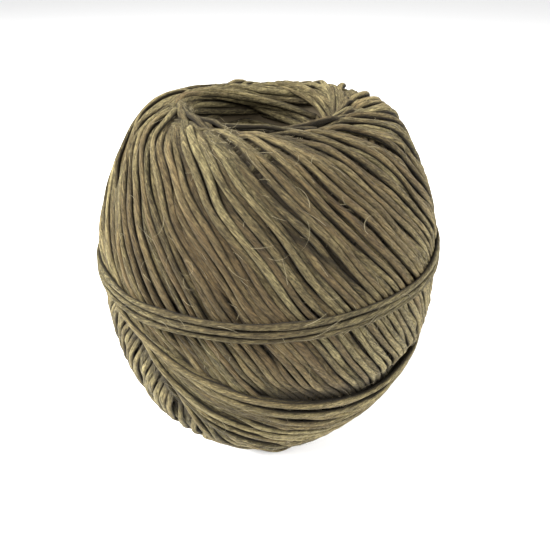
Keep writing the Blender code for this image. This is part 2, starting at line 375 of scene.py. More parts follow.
def slant_strands(count):
    """One strand for each loop, oldest first: from the foot over the rim and down to the foot again.

    All loops cross the widest level at nearly even spacing, and differ in how close to the hole they turn.
    """
    pitch = 2 * np.pi / LOOPS_ROUND
    age = count - np.arange(count)
    newest = np.exp(-age / BUNCH)
    ahead = pitch * places_ahead(age, newest)
    rim_radius, foot_radius = slow_change(count, *RIM_TURN_RADIUS), slow_change(count, *FOOT_TURN_RADIUS)
    lean, fall = NEWEST_LEAN * np.exp(-age / (LOOPS_ROUND * NEWEST_ROUND)), NEWEST_FALL * newest
    s, angle = half_loops(rim_radius, foot_radius, lean, fall)
    _, climb = half_loops(rim_radius, foot_radius, lean, np.maximum(fall, CLIMB_FALL))
    usual_s, usual_angle = half_loops(
        0 * lean + RIM_TURN_RADIUS[0], 0 * lean + FOOT_TURN_RADIUS[0], lean, fall
    )
    top_angle = CROSSING_ANGLE - np.interp(-CROSSING_S, -usual_s[-1], usual_angle[-1]) + ahead
    levels, shown, aside = shares_in_sight(count)
    strands = []
    for j in range(count):
        usual = np.interp(-WIDEST_S, -usual_s[j], usual_angle[j])
        fall_s, fall_angle = even_steps(s[j], angle[j] * usual / np.interp(-WIDEST_S, -s[j], angle[j]))
        climb_s, climb_angle = even_steps(s[j], climb[j] * usual / np.interp(-WIDEST_S, -s[j], climb[j]))
        whole_s = np.concatenate([climb_s[::-1], fall_s[1:]])
        whole_angle = top_angle[j] + np.concatenate([-climb_angle[::-1], fall_angle[1:]])
        newer = count - 1 - j
        clear_of_turn = ramp(at_s(section_r, whole_s), rim_radius[j], TURN_DIVE) + (whole_s < WIDEST_S)
        in_sight = np.minimum(np.interp(whole_s, levels, shown[newer]), clear_of_turn)
        strands.append((whole_s, whole_angle + pitch * np.interp(whole_s, levels, aside[newer]), in_sight))
    return strands


slants = slant_strands(int(LOOPS_ROUND * ROUNDS))
last_s, last_angle, _ = slants[-1]
print(f"the last one is highest at {np.degrees(last_angle[np.argmax(last_s)]):.0f} degrees round")
print(f"{len(slants)} slant loops, each about {len(slants[0][0]) * STRAND_STEP:.0f} mm long")

# %% [markdown]
# ## Which strand lies on top
# Later strands lie over earlier ones. Physics could settle them, but so many would take hours. It is easier
# to place them backwards, from the last one laid to the first: the newest lies at the surface, and each
# older one slips under whatever is already there. Two maps of the ball keep track, with rows along the
# section and columns round it: how low the twine above comes, and how new it is.

# %% Make the maps of the ball
ROW_STEP = 0.2  # mm
COLUMNS = 960
CROSS_STEPS = np.linspace(-1.0, 1.0, 13)
CORE_STEPS = np.abs(CROSS_STEPS) < 0.67  # a strand's soft edges give way, so only its core bears on others
TINY = 1e-9  # keeps a division safe
map_shape = (int(section_s[-1] / ROW_STEP) + 2, COLUMNS)
under_map = np.full(map_shape, np.inf)
order_map = np.zeros(map_shape)


def cells(s, angle):
    """The map's cell for each place on the outline."""
    row = np.clip(np.round(s / ROW_STEP), 0, map_shape[0] - 1).astype(int)
    return row, np.round(angle / (2 * np.pi) * COLUMNS).astype(int) % COLUMNS


def across(s, angle, half_width):
    """Places side by side over the strand's width, one column each, square to the way it runs."""
    radius = at_s(section_r, s)
    along_s, along_angle = np.gradient(s), np.gradient(angle) * radius
    speed = np.maximum(np.hypot(along_s, along_angle), TINY)
    reach = half_width[:, None] * CROSS_STEPS
    beside_s = s[:, None] - reach * (along_angle / speed)[:, None]
    beside_angle = angle[:, None] + reach * (along_s / speed / radius)[:, None]
    return beside_s, beside_angle


print(f"each map has {map_shape[0]} rows and {map_shape[1]} columns")

# %% [markdown]
# ## How a strand is pressed down
# A strand pressed down at one place comes up again gently on either side, because it is taut. And where it
# lies more than half hidden it sinks right under its neighbours: that is why fewer strands show round the
# rim, where they crowd together, than round the middle.

# %% Place one strand under the newer ones
PRESS_RADIUS = 22.0  # mm, how sharply a strand bends down where it is pressed
PRESS_REACH = 7.0  # mm along it, past which a press has no effect
SOFT_STEPS = 5  # points on each side, over which the bends are made soft
GIVE = 0.3  # how far strands sink into each other, as a share of a half height
DEPTHS = (1.6, 2.2, 1.3)  # half heights: under neighbours, more under a newer layer, and more under two
NEXT_LAYER, LAYER_EASE = 0.1, 0.25  # rounds newer, from which a strand above counts as a newer layer
HIDDEN = 0.5  # the covered share of its width that hides a strand
SUNK_UNDER = 2.0  # half heights: lower than this, a strand holds nothing down


def pressed(height):
    """The height of a taut strand held down at some places: it rises from each with distance squared."""
    held = height.copy()
    for shift in range(1, int(PRESS_REACH / STRAND_STEP)):
        rise = (shift * STRAND_STEP) ** 2 / (2 * PRESS_RADIUS)
        held[shift:] = np.minimum(held[shift:], height[:-shift] + rise)
        held[:-shift] = np.minimum(held[:-shift], height[shift:] + rise)
    soft = np.ones(2 * SOFT_STEPS + 1) / (2 * SOFT_STEPS + 1)
    return np.convolve(np.pad(held, SOFT_STEPS, mode="edge"), soft, mode="valid")


def slip_under(order, s, angle, free_height, half_width, half_height, in_sight):
    """Places a strand under all newer ones and gives the height of its middle line.

    Across its width the strand is an ellipse, half_height * sqrt(1 - x^2) at x half widths from the middle.
    """
    row, column = cells(*across(s, angle, half_width))
    bulge = half_height[:, None] * np.sqrt(np.maximum(1 - CROSS_STEPS**2, 0.0))
    above = under_map[row, column]
    covered = np.isfinite(above).mean(axis=1)
    rounds = np.where(np.isfinite(above), order - order_map[row, column], 0.0).max(axis=1) / LOOPS_ROUND
    room = (above - bulge)[:, CORE_STEPS].min(axis=1) + GIVE * half_height
    beside, layer, deeper = DEPTHS
    depth = beside + layer * ramp(rounds, NEXT_LAYER, LAYER_EASE) + deeper * np.clip(rounds - 1, 0, 1)
    height = pressed(np.clip(room, free_height - half_height * depth, free_height))
    holds = (covered < HIDDEN) & (in_sight > HIDDEN) & (height > free_height - SUNK_UNDER * half_height)
    shows = holds[:, None] & CORE_STEPS
    row, column, under = row[shows], column[shows], (height[:, None] - bulge)[shows]
    np.minimum.at(under_map, (row, column), under)
    order_map[row, column] = order
    return height


print(f"a strand comes up again {PRESS_REACH**2 / (2 * PRESS_RADIUS):.1f} mm in {PRESS_REACH:.0f} mm")

# %% [markdown]
# ## Soft, uneven twine
# Soft twine is never even. Its width wanders along its length, and it is pushed aside by its neighbours.
# Real unevenness has no pattern but no sudden steps either, so both are drawn as smooth noise: random
# values every few millimetres, joined by smooth curves.

# %% Give the strands their unevenness
STRAND_HALF_WIDTH = 0.62  # mm
STRAND_HALF_HEIGHT = 0.50
LIFTS = {"slant": 0.0, "leaning": 0.2, "waist": 0.55}  # mm over the outline
SWAYS = {"slant": 1.0, "leaning": 0.5, "waist": 0.25}  # how freely each kind is pushed aside
FREE_RADIUS, FREE_EASE, LEAST_FREE = 14.5, 8.0, 0.1  # strands are held at the hole, and free further out, mm
OWN_SWAY = (7.0, 0.08)  # mm between random values, and their spread
LEVEL_CHANGES = (7.0, 0.06)
SQUASH_CHANGES = (8.0, 0.08)
WIDTH_CHANGES = ((6.0, 0.07), (2.2, 0.05))
THICKNESS_SPREAD = 0.07  # from one loop to the next
LOW_THICKNESS = 1.15  # low on the side, where the winding is looser
SINK = 2.2  # half heights, for a strand that has slipped out of sight
FULL_TURN = 6.28  # radians, near enough for a random start
WAVE_TURNS, WAVE_RATE = (1, 9), 0.06  # waves round the ball, and per mm along the outline
WAVE_SIZES = (0.3, 1.0)
PUSH_WAVES, SWELL_WAVES = (9, 0.12), (7, 0.10)  # how many, and mm


def wander(length, spacing, size):
    """Smooth noise along a strand: random values every "spacing" mm, joined smoothly, read at every step."""
    values = rng.normal(0.0, size, int(length * STRAND_STEP / spacing) + 4)
    place = np.arange(length) * STRAND_STEP / spacing + 1
    cell = place.astype(int)
    blend = eased(place - cell)
    return values[cell] * (1 - blend) + values[cell + 1] * blend


def slow_waves(count, size):
    """A smooth field over the ball, the same for strands near one another: the sum of a few sine waves."""
    waves = []
    for _ in range(count):
        turns, rate = rng.integers(*WAVE_TURNS), rng.uniform(-WAVE_RATE, WAVE_RATE)
        waves.append((turns, rate, rng.uniform(0, FULL_TURN), rng.uniform(*WAVE_SIZES) * size))

    def field(s, angle):
        return sum(
            high * np.sin(turns * angle + FULL_TURN * rate * s + start) for turns, rate, start, high in waves
        )

    return field


push_along, push_round, swell = slow_waves(*PUSH_WAVES), slow_waves(*PUSH_WAVES), slow_waves(*SWELL_WAVES)


def wind(order, s, angle, kind, thickness=1.0, in_sight=1.0):
    """Gives one strand its width, waver and height, and keeps what is needed to draw it."""
    count = len(s)
    radius = at_s(section_r, s)
    free = np.clip((radius - FREE_RADIUS) / FREE_EASE, LEAST_FREE, 1.0) * SWAYS[kind]
    s = s + free * (push_along(s, angle) + wander(count, *OWN_SWAY))
    angle = angle + free * (push_round(s, angle) + wander(count, *OWN_SWAY)) / radius
    thickness = thickness * np.interp(at_s(section_z, s), LOOSE_LEVELS, (LOW_THICKNESS, 1.0))
    change = rng.normal(0.0, THICKNESS_SPREAD)
    for spacing, spread in WIDTH_CHANGES:
        change = change + wander(count, spacing, spread)
    size = thickness * np.exp(change)
    squash = np.exp(wander(count, *SQUASH_CHANGES))
    half_width, half_height = STRAND_HALF_WIDTH * size * squash, STRAND_HALF_HEIGHT * size / squash
    free_height = LIFTS[kind] - half_height + swell(s, angle) + wander(count, *LEVEL_CHANGES)
    free_height -= (1 - in_sight) * SINK * half_height
    height = slip_under(order, s, angle, free_height, half_width, half_height, in_sight + 0 * s)
    return {
        "s": s,
        "angle": angle,
        "height": height,
        "half_width": half_width,
        "half_height": half_height,
        "kind": kind,
    }


print(f"a strand is about {2 * STRAND_HALF_WIDTH:.2f} mm wide and {2 * STRAND_HALF_HEIGHT:.2f} mm high")

# %% [markdown]
# ## The leaning loops and the waist
# Near the end the winder tips the ball, so the last loops lean less and less. Each lies in its own tilted
# plane, and all cross near one level, so they fan out from there. The waist turns come last, almost level,
# side by side. A plane that cuts the outline gives the whole way of such a loop at once, with no turning
# number.

# %% Work out the last loops and wind backwards
LEANING_COUNT = 17
LOW_LEVELS = (33.5, 12.5)  # where the last and the first of them pass on their low side, mm up
HIGH_SIDE_SPREAD = 0.025  # radians
CROSSING_SPREAD = 0.35  # mm
WAIST_TURNS = (  # level and tilt in mm, and thickness, from top to bottom
    (54.3, 1.2, 1.0),
    (52.95, 1.3, 1.0),
    (51.8, 1.7, 0.8),
)
outer_s, outer_r, outer_z = section_s[outer], section_r[outer], section_z[outer]


def plane_loop(level, slope, high_angle):
    """Where a tilted plane cuts the outer side: z = level + slope * r * cos(angle from its high side)."""
    angle = np.linspace(0, 2 * np.pi, int(2 * np.pi * BALL_RADIUS / STRAND_STEP))
    above = outer_z - slope * outer_r * np.cos(angle - high_angle)[:, None] - level
    above = np.maximum.accumulate(above, axis=1)
    first = np.clip((above > 0).argmax(axis=1), 1, None)
    rows = np.arange(len(angle))
    low, high = above[rows, first - 1], above[rows, first]
    s = outer_s[first - 1] + SECTION_STEP * np.clip(-low / np.maximum(high - low, TINY), 0, 1)
    return s, angle


laid = []
for level, tilt, thickness in WAIST_TURNS:
    s, angle = plane_loop(level, tilt / BALL_RADIUS, 0.0)
    laid.append(wind(len(laid), s, angle, "waist", thickness))
low_s = np.linspace(*np.interp(LOW_LEVELS, outer_z, outer_s), LEANING_COUNT)
for slope in (CROSSING_LEVEL - at_s(section_z, low_s)) / at_s(section_r, low_s):
    high_angle = CROSSING_ANGLE - np.pi / 2 + rng.normal(0, HIGH_SIDE_SPREAD)
    s, angle = plane_loop(CROSSING_LEVEL + rng.normal(0, CROSSING_SPREAD), slope, high_angle)
    laid.append(wind(len(laid), s, angle, "leaning"))
for s, angle, in_sight in reversed(slants):
    laid.append(wind(len(laid), s, angle, "slant", in_sight=in_sight))
print(f"{len(laid)} strands placed")

# %% [markdown]
# ## What can be seen
# Most of each strand is hidden for good, and drawing it would only cost time. A last map holds how high the
# twine stands everywhere, and a stretch of strand is kept only where it comes up to that, with a margin at
# each end so that it dives out of sight.

# %% Find the stretches that show
SAME_HEIGHT = 0.05  # mm: a strand this little below the highest still counts as seen
SEEN_MARGIN = 2.0  # mm, kept on each side of what is seen
SEEN_STEPS = 2  # places across the strand that have to be free
LEAST_POINTS = 6  # a stretch of so few points isn't drawn
BULGE_SHARE = 0.97  # the strand's very edge is left out of its profile
top_map = np.full(map_shape, -np.inf)


def strand_tops(strand):
    """The cells a strand covers and how high it stands in them."""
    place = cells(*across(strand["s"], strand["angle"], strand["half_width"]))
    bulge = strand["half_height"][:, None] * np.sqrt(1 - (CROSS_STEPS * BULGE_SHARE) ** 2)
    return place, strand["height"][:, None] + bulge


for strand in laid:
    place, top = strand_tops(strand)
    np.maximum.at(top_map, place, top)


def seen_runs(strand):
    """The stretches of a strand that nothing covers, each with a margin, as pairs of indices."""
    place, top = strand_tops(strand)
    seen = (top_map[place] < top + SAME_HEIGHT)[:, 1:-1].sum(axis=1) >= SEEN_STEPS
    near = np.convolve(seen, np.ones(2 * int(SEEN_MARGIN / STRAND_STEP) + 1), mode="same") > 0.5
    edges = np.flatnonzero(np.diff(np.concatenate([[0], near.astype(int), [0]])))
    return [(a, b) for a, b in zip(edges[::2], edges[1::2]) if b - a > LEAST_POINTS]


runs = [(j, a, b) for j, strand in enumerate(laid) for a, b in seen_runs(strand)]
total = sum(b - a for _, a, b in runs) * STRAND_STEP / 1000
print(f"{len(runs)} stretches are seen, {total:.1f} m of twine")

# %% [markdown]
# ## From paths to strands
# A strand is a tube: an ellipse carried along its path, wider across the ball than it stands high.
# Blender's curves can be given a round bevel, but not one that swells, flattens and turns with the twist.
# So all stretches of a group are worked out together, as one array of rings, and closed at their ends.

# %% Carry an ellipse along every path
PLY_TURN = 19.0  # mm along the strand for its flats to go once round
TWO_FLATS, THREE_FLATS = 0.08, 0.05  # how deep they are, as a share of its half width
THREE_TWIST = 1.3  # how much faster the three turn than the two, the other way


def tube_points(ring_sides, centre, out, side, half_width, half_height, along, start):
    """Rings along the path, and after them the middle of every ring. The points of a ring are

    centre + f * (half_width * cos(t) * side + half_height * sin(t) * out), for t going round in even steps,
    where f = 1 + 0.08 cos(2 t - p) + 0.05 cos(3 t + 1.3 p) gives soft flats, and p grows along the strand.
    No point is let below the floor.
    """
    turn = np.arange(ring_sides) * 2 * np.pi / ring_sides
    ply = (along * 2 * np.pi / PLY_TURN + start)[:, None]
    flats = 1 + TWO_FLATS * np.cos(2 * turn - ply) + THREE_FLATS * np.cos(3 * turn + THREE_TWIST * ply)
    rings = (
        centre[:, None]
        + (flats * half_width[:, None] * np.cos(turn))[..., None] * side[:, None]
        + (flats * half_height[:, None] * np.sin(turn))[..., None] * out[:, None]
    )
    points = np.concatenate([rings.reshape(-1, 3), centre])
    points[:, 2] = np.maximum(points[:, 2], 0.0)
    return points


def tube_faces(ring_sides, run):
    """Quads from each ring to the next of its run, fans from a middle point over both ends, and their rings.

    The point numbers are those of tube_points: all rings one after another, and then the middles.
    """
    k = np.arange(ring_sides)
    here, there = k, (k + 1) % ring_sides
    changes = run[1:] != run[:-1]
    follows = np.flatnonzero(~changes)
    low, high = follows[:, None] * ring_sides, (follows[:, None] + 1) * ring_sides
    quads = np.stack([low + here, high + here, high + there, low + there], axis=-1).reshape(-1, 4)
    starts = np.flatnonzero(np.append(True, changes))[:, None]
    ends = np.flatnonzero(np.append(changes, True))[:, None]
    middles = len(run) * ring_sides
    first, last = starts * ring_sides, ends * ring_sides
    start_fans = np.stack([first + here, first + there, middles + starts + 0 * k], axis=-1).reshape(-1, 3)
    end_fans = np.stack([last + there, last + here, middles + ends + 0 * k], axis=-1).reshape(-1, 3)
    fans = np.concatenate([start_fans, end_fans])
    return quads, fans, follows, np.concatenate([starts, ends]).ravel()


def tube_uv(ring_sides, along, follows, capped):
    """For every corner, the share of the way round the strand, and mm along it."""
    k = np.arange(ring_sides)
    grid = (len(follows), ring_sides)
    turned = np.broadcast_to(np.stack([k, k, k + 1, k + 1], axis=-1) / ring_sides, (*grid, 4))
    near, far = (np.broadcast_to(along[ring][:, None], grid) for ring in (follows, follows + 1))
    quad_uv = np.stack([turned, np.stack([near, far, far, near], axis=-1)], axis=-1).reshape(-1, 2)
    cap_along = along[np.repeat(capped, ring_sides * 3)]
    cap_uv = np.stack([np.full(len(cap_along), 0.5), cap_along], axis=-1)
    return np.concatenate([quad_uv, cap_uv])


print(f"the flats of a strand go once round in {PLY_TURN:.0f} mm")

# %% [markdown]
# ## From numbers to a mesh
# Blender can take a mesh as lists of points and faces, but for millions of corners that is slow. So the
# arrays go in whole: where each point is, which points the corners use, and where each face starts.

# %% Hand the arrays to Blender
def smooth_piece(name, points, quads, fans=()):
    """A piece with smooth shading, made from points in mm, faces of four corners and faces of three."""
    corners = np.concatenate([np.ravel(quads), np.ravel(fans)]).astype(int)
    sizes = np.concatenate([np.full(len(quads), 4), np.full(len(fans), 3)]).astype(int)
    mesh = bpy.data.meshes.new(name)
    mesh.vertices.add(len(points))
    mesh.vertices.foreach_set("co", (points * MM).ravel())
    mesh.loops.add(len(corners))
    mesh.loops.foreach_set("vertex_index", corners)
    mesh.polygons.add(len(sizes))
    mesh.polygons.foreach_set("loop_start", np.concatenate([[0], np.cumsum(sizes)[:-1]]))
    mesh.polygons.foreach_set("loop_total", sizes)
    mesh.update(calc_edges=True)
    mesh.polygons.foreach_set("use_smooth", np.ones(len(sizes), bool))
    piece = bpy.data.objects.new(name, mesh)
    bpy.context.scene.collection.objects.link(piece)
    print(f"{name}: {int((sizes - 2).sum())} triangles")
    return piece


def tube_piece(name, ring_sides, centre, out, side, half_width, half_height, run, along, shade):
    """One closed tube for each run of equal numbers in "run", with a UV map and a shade for every ring.

    A shade is the strand's own tone and warmth, where it starts its noise and its flats, and how deep it is,
    which the material turns into painted shade.
    """
    points = tube_points(ring_sides, centre, out, side, half_width, half_height, along, shade[:, 2])
    quads, fans, follows, capped = tube_faces(ring_sides, run)
    piece = smooth_piece(name, points, quads, fans)
    uv = piece.data.uv_layers.new(name="strand_uv")
    uv.uv.foreach_set("vector", tube_uv(ring_sides, along, follows, capped).astype(np.float32).ravel())
    colour = piece.data.color_attributes.new("strand", "FLOAT_COLOR", "POINT")
    shades = np.concatenate([np.repeat(shade, ring_sides, axis=0), shade])
    colour.data.foreach_set("color", shades.astype(np.float32).ravel())
    return piece


print("a piece is four arrays: points, corners, UV and shade")

# %% [markdown]
# ## The strands that show
# Deep strands are seen only through gaps, so they get fewer sides and fewer rings than those on top. The
# many slant turns are shared between four pieces, to keep each mesh light. Every strand carries its own
# shade.

# %% Build the strands
UNDER_START, UNDER_REACH = 0.6, 0.7  # mm below its free place: where a strand starts to darken with painted shade, and how fast
MOSTLY_UNDER = 0.7  # a stretch darkened by painted shade more than this all along is one of the under turns
WAIST_SHADE = (-1.4, -1.6)  # tone and warmth: the waist turns are a little darker and less brown
STRAND_PHASE = 7.31  # how far apart two strands read their streaks
PIECES = {  # what each kind is called, sides of a ring, points from ring to ring, and in how many pieces
    "under": ("under_turns", 6, 7, 1),
    "slant": ("slant_turns", 8, 4, 4),
    "leaning": ("leaning_loops", 8, 4, 1),
    "waist": ("waist_turns", 12, 4, 1),
}
strand_shade = rng.normal(0.0, 1.0, (len(laid), 2))
strand_shade[: len(WAIST_TURNS)] = WAIST_SHADE


def unit(vectors):
    """The same directions with length 1."""
    return vectors / np.maximum(np.linalg.norm(vectors, axis=-1, keepdims=True), TINY)


def tube_sides(path, s, angle):
    """The outward and the sideways direction of a strand, square to the way its path runs."""
    ahead = unit(np.gradient(path, axis=-2))
    side = unit(np.cross(outward_at(s, angle), ahead))
    return unit(np.cross(ahead, side)), side


def strands_piece(name, chosen, ring_sides, every):
    """Builds the tubes of the chosen stretches, reading each strand every few points."""
    parts = []
    for number, (j, a, b) in enumerate(chosen):
        strand = laid[j]
        pick = np.unique(np.append(np.arange(a, b, every), b - 1))
        s, angle, height = strand["s"][pick], strand["angle"][pick], strand["height"][pick]
        path = on_ball(s, angle, height)
        size = strand["half_width"][pick], strand["half_height"][pick]
        same = np.ones(len(pick))
        tone, warmth = strand_shade[j]
        shade = [tone * same, warmth * same, j * STRAND_PHASE * same, strand["under"][pick]]
        shade = np.column_stack(shade)
        parts.append((path, *tube_sides(path, s, angle), *size, number * same, pick * STRAND_STEP, shade))
    return tube_piece(name, ring_sides, *(np.concatenate(column) for column in zip(*parts)))


for strand in laid:
    free_height = LIFTS[strand["kind"]] - strand["half_height"]
    # how deep a strand lies, which the material paints as shade
    strand["under"] = ramp(free_height - strand["height"], UNDER_START, UNDER_REACH)
groups = {kind: [] for kind in PIECES}
for j, a, b in runs:
    sunk = laid[j]["kind"] == "slant" and laid[j]["under"][a:b].min() > MOSTLY_UNDER
    groups["under" if sunk else laid[j]["kind"]].append((j, a, b))
pieces = []
for kind, (name, ring_sides, every, parts) in PIECES.items():
    length = np.cumsum([b - a for _, a, b in groups[kind]])
    part_of = (length * parts / (length[-1] + 1)).astype(int)
    for part in range(parts):
        chosen = [run for run, of_part in zip(groups[kind], part_of) if of_part == part]
        part_name = name if parts == 1 else f"{name}_{part + 1}"
        pieces.append(strands_piece(part_name, chosen, ring_sides, every))
print(f"{len(pieces)} pieces of strands")

# %% [markdown]
# ## The wound body underneath
# Under the strands that show lie dozens of older layers. Only their darkness is seen between the strands,
# so one closed body in a dark colour of painted shade stands for them: the section, a little smaller than
# the ball, turned round its axis and open down the core. It could be a Screw modifier on a profile, but
# then it would miss the soft bumps of the strands.

# %% Turn the body underneath
BODY_COLUMNS = 120  # points round the ball
BODY_ROWS_APART = 16  # section steps
BODY_LEVELS, BODY_DEPTHS = (0.0, 12.0, 58.0, 66.0, 77.0), (0.7, 2.6, 2.6, 1.9, 1.5)  # mm, outside
HOLE_LEVELS, HOLE_DEPTHS = (70.0, 79.0), (1.3, 2.4)  # mm, inside the hole


def turned_piece(name, s, depth):
    """The closed outline, sunk by "depth" and turned round Z, with the same soft bumps as the strands."""
    rows = len(s)
    angle = np.arange(BODY_COLUMNS) * 2 * np.pi / BODY_COLUMNS
    points = on_ball(s[:, None] + 0 * angle, angle, -depth[:, None])
    i, j = np.meshgrid(np.arange(rows), np.arange(BODY_COLUMNS), indexing="ij")
    row, row_up, on = i * BODY_COLUMNS, (i + 1) % rows * BODY_COLUMNS, (j + 1) % BODY_COLUMNS
    quads = np.stack([row + j, row + on, row_up + on, row_up + j], axis=-1)
    return smooth_piece(name, points.reshape(-1, 3), quads.reshape(-1, 4))


body_depth = np.interp(section_z, BODY_LEVELS, BODY_DEPTHS)
body_depth[~outer] = np.interp(section_z[~outer], HOLE_LEVELS, HOLE_DEPTHS)
wound_body = turned_piece("wound_body", section_s[::BODY_ROWS_APART], body_depth[::BODY_ROWS_APART])
print(f"the body under the strands is {2 * (section_r - body_depth)[outer].max():.1f} mm across")

# %% [markdown]
# ## The wall of the core hole
# Looking down the hole shows where older loops turned, one below another. Winding all those loops would
# cost far more than they show, so only the stretch of each that lies on the wall is made: an arc that comes
# over the lip or out of the wall, runs slanting down along it, and goes back in.

# %% Lay arcs down the core hole
ARC_COUNT = 300
ARC_POINTS = 25
ARC_CROWDING = 1.5  # over 1, and more of them lie near the lip
LIP_BELOW, LIP_ABOVE = 1.5, 4.0  # mm along the outline: where the wall starts, and arcs' reach over the lip
FLOOR_CLEAR = 0.5  # mm
HALF_TURNS = (45, 70)  # degrees round the hole on each side of an arc's middle
ARC_LEAN = (-3.2, 1.2)  # mm along the outline from middle to end, and its spread
ARC_BEND = (-2.5, 0.5)  # mm further down the wall at both ends than at the middle: mostly, higher up
ARC_HEIGHT = (-0.9, 0.1)  # mm over the wall, from the deepest arcs to the highest
ARC_DIVE = 2.2  # mm that an arc's ends go into the wall
LIP_DIVE, LIP_EASE = 1.1, 0.4  # mm down for each mm over the lip, after the first few tenths
ARC_WIDTH_SPREAD, ARC_FLATNESS = 0.08, 0.85
ARC_PHASE = 3.7  # as for the strands
WALL_PAINTED_SHADE = 0.25  # painted shade: arcs are darker than the strands outside, more where they are sunk and deeper in the hole
SUNK_PAINTED_SHADE, SUNK_REACH = 0.5, 2.5
HOLE_DEPTH_PAINTED_SHADE, DEEP_LEVEL, DEEP_REACH = 0.5, 78, 16


def rows_of(values):
    """The same values with one row for each point of every arc or fibre, one after another."""
    return values.reshape(-1, values.shape[-1])


def wall_arcs():
    """Arcs on the wall: s changes steadily along each, and its ends sink as the fourth power of the way."""
    wall_start = section_s[np.argmax(section_z)] + LIP_BELOW
    step = np.linspace(-1, 1, ARC_POINTS)
    wall_length = section_s[-1] - FLOOR_CLEAR - wall_start
    middle_s = wall_start + wall_length * rng.uniform(0, 1, ARC_COUNT) ** ARC_CROWDING
    middle_angle = rng.uniform(0, 2 * np.pi, ARC_COUNT)
    reach = np.radians(rng.uniform(*HALF_TURNS, ARC_COUNT))
    lean = rng.normal(*ARC_LEAN, ARC_COUNT)
    bend = rng.uniform(*ARC_BEND, ARC_COUNT)
    s = middle_s[:, None] + lean[:, None] * step + bend[:, None] * step**2
    angle = middle_angle[:, None] + reach[:, None] * step
    height = rng.uniform(*ARC_HEIGHT, ARC_COUNT)[:, None] - ARC_DIVE * step**4
    height = height - LIP_DIVE * np.maximum(wall_start - s - LIP_EASE, 0)
    s = np.clip(s, wall_start - LIP_ABOVE, section_s[-1])
    path = on_ball(s, angle, height)
    out, side = tube_sides(path, s, angle)
    same = np.ones((ARC_COUNT, ARC_POINTS))
    width = STRAND_HALF_WIDTH * np.exp(rng.normal(0, ARC_WIDTH_SPREAD, ARC_COUNT))[:, None] * same
    number = np.arange(ARC_COUNT)[:, None] * same
    along = np.cumsum(np.linalg.norm(np.diff(path, axis=1, prepend=path[:, :1]), axis=-1), axis=1)
    # painted shade down the hole: more where an arc is sunk into the wall and deeper down
    painted_hole_shade = np.clip(-height / SUNK_REACH, 0, 1) * SUNK_PAINTED_SHADE + WALL_PAINTED_SHADE
    painted_hole_shade = painted_hole_shade + HOLE_DEPTH_PAINTED_SHADE * np.clip((DEEP_LEVEL - at_s(section_z, s)) / DEEP_REACH, 0, 1)
    own = [rng.normal(0, 1, ARC_COUNT)[:, None] * same for _ in range(2)]
    shade = rows_of(np.stack([*own, number * ARC_PHASE, painted_hole_shade], axis=-1))
    size = width.ravel(), ARC_FLATNESS * width.ravel()
    where = rows_of(path), rows_of(out), rows_of(side)
    return tube_piece("wall_turns", 8, *where, *size, number.ravel(), along.ravel(), shade)


wall_turns = wall_arcs()
pieces += [wound_body, wall_turns]

# %% [markdown]
# ## Loose fibres
# Hemp fibres are short, so their ends work loose all over the twine. Blender's hair could grow them, but it
# is no mesh. So each is a hair-thin tube that starts on top of a strand and heads nearly the way the strand
# runs. A few curl right round, and two places are frayed into a small tuft: one where the strands meet at
# the mouth, and one on the front of the lip.

# %% Find where the fibres start
FIBRE_COUNT = 1500
FIBRE_ASIDE = 0.35  # radians, the spread of a fibre's heading about the strand's
END_POINTS = 4  # no fibre starts so near the ends of a stretch
SUNK_FIBRES = 0.3  # the share of its fibres that a strand under others has left
CURLED = (  # degrees round the ball, mm up, mm long, and radians of curl
    (246.0, 62.7, 5.0, 4.6),
    (247.5, 61.0, 3.5, -3.0),
    (280.7, 69.8, 4.5, 1.2),
    (282.0, 70.6, 4.0, -1.4),
    (268.0, 52.6, 4.5, 2.2),
    (300.0, 66.0, 4.0, 2.6),
)
CURLED_START, TUFT_START = 0.35, (-0.4, 0.5)  # mm over the outline
TUFTS = (  # degrees round, mm from the axis, number of fibres, and mm of spread
    (193.0, 14.4, 50, 0.9),
    (250.5, 19.4, 26, 1.5),
)
MOUTH_RADIUS = 14.1  # mm, just outside the hole's wall


def fibre_roots(count):
    """Where fibres start: points of strands that show, as s, angle, height of the top, and heading."""
    runs_length = np.array([max(b - a - 2 * END_POINTS, 0) for _, a, b in runs])
    runs_under = np.array([laid[j]["under"][a:b].mean() for j, a, b in runs])
    chance = runs_length * np.where(runs_under > 0.5, SUNK_FIBRES, 1.0)
    picked = rng.choice(len(runs), count, p=chance / chance.sum())
    strand_of, starts, ends = np.array(runs)[picked].T
    first = np.cumsum([0] + [len(strand["s"]) for strand in laid])
    at = first[strand_of] + rng.integers(starts + END_POINTS, ends - 1)
    keys = "s", "angle", "height", "half_height"
    s, angle, height, half_height = (np.concatenate([strand[key] for strand in laid]) for key in keys)
    aside = (angle[at] - angle[at - END_POINTS]) * at_s(section_r, s[at])
    heading = np.arctan2(aside, s[at] - s[at - END_POINTS])
    return np.column_stack([s[at], angle[at], height[at] + half_height[at], heading])


def curled_fibre_roots():
    """The roots of the few long curled fibres, on the outside at their own levels, each heading anywhere."""
    turned, level, _, _ = np.array(CURLED).T
    s = np.interp(level, section_z[outer], section_s[outer])
    heading = rng.uniform(0, FULL_TURN, len(CURLED))
    return np.column_stack([s, np.radians(turned), CURLED_START + 0 * s, heading])


def tuft_fibre_roots():
    """The roots of the tufts' fibres, scattered about each tuft's middle, heading anywhere."""
    inner_side = rim_side & (section_r > MOUTH_RADIUS)
    roots = []
    for turned, radius, count, spread in TUFTS:
        s = np.interp(-radius, -section_r[inner_side], section_s[inner_side])
        aside = rng.normal(0, spread, (count, 2))
        angle = np.radians(turned) + aside[:, 1] / radius
        start, heading = rng.uniform(*TUFT_START, count), rng.uniform(0, FULL_TURN, count)
        roots.append(np.column_stack([s + aside[:, 0], angle, start, heading]))
    return np.concatenate(roots)


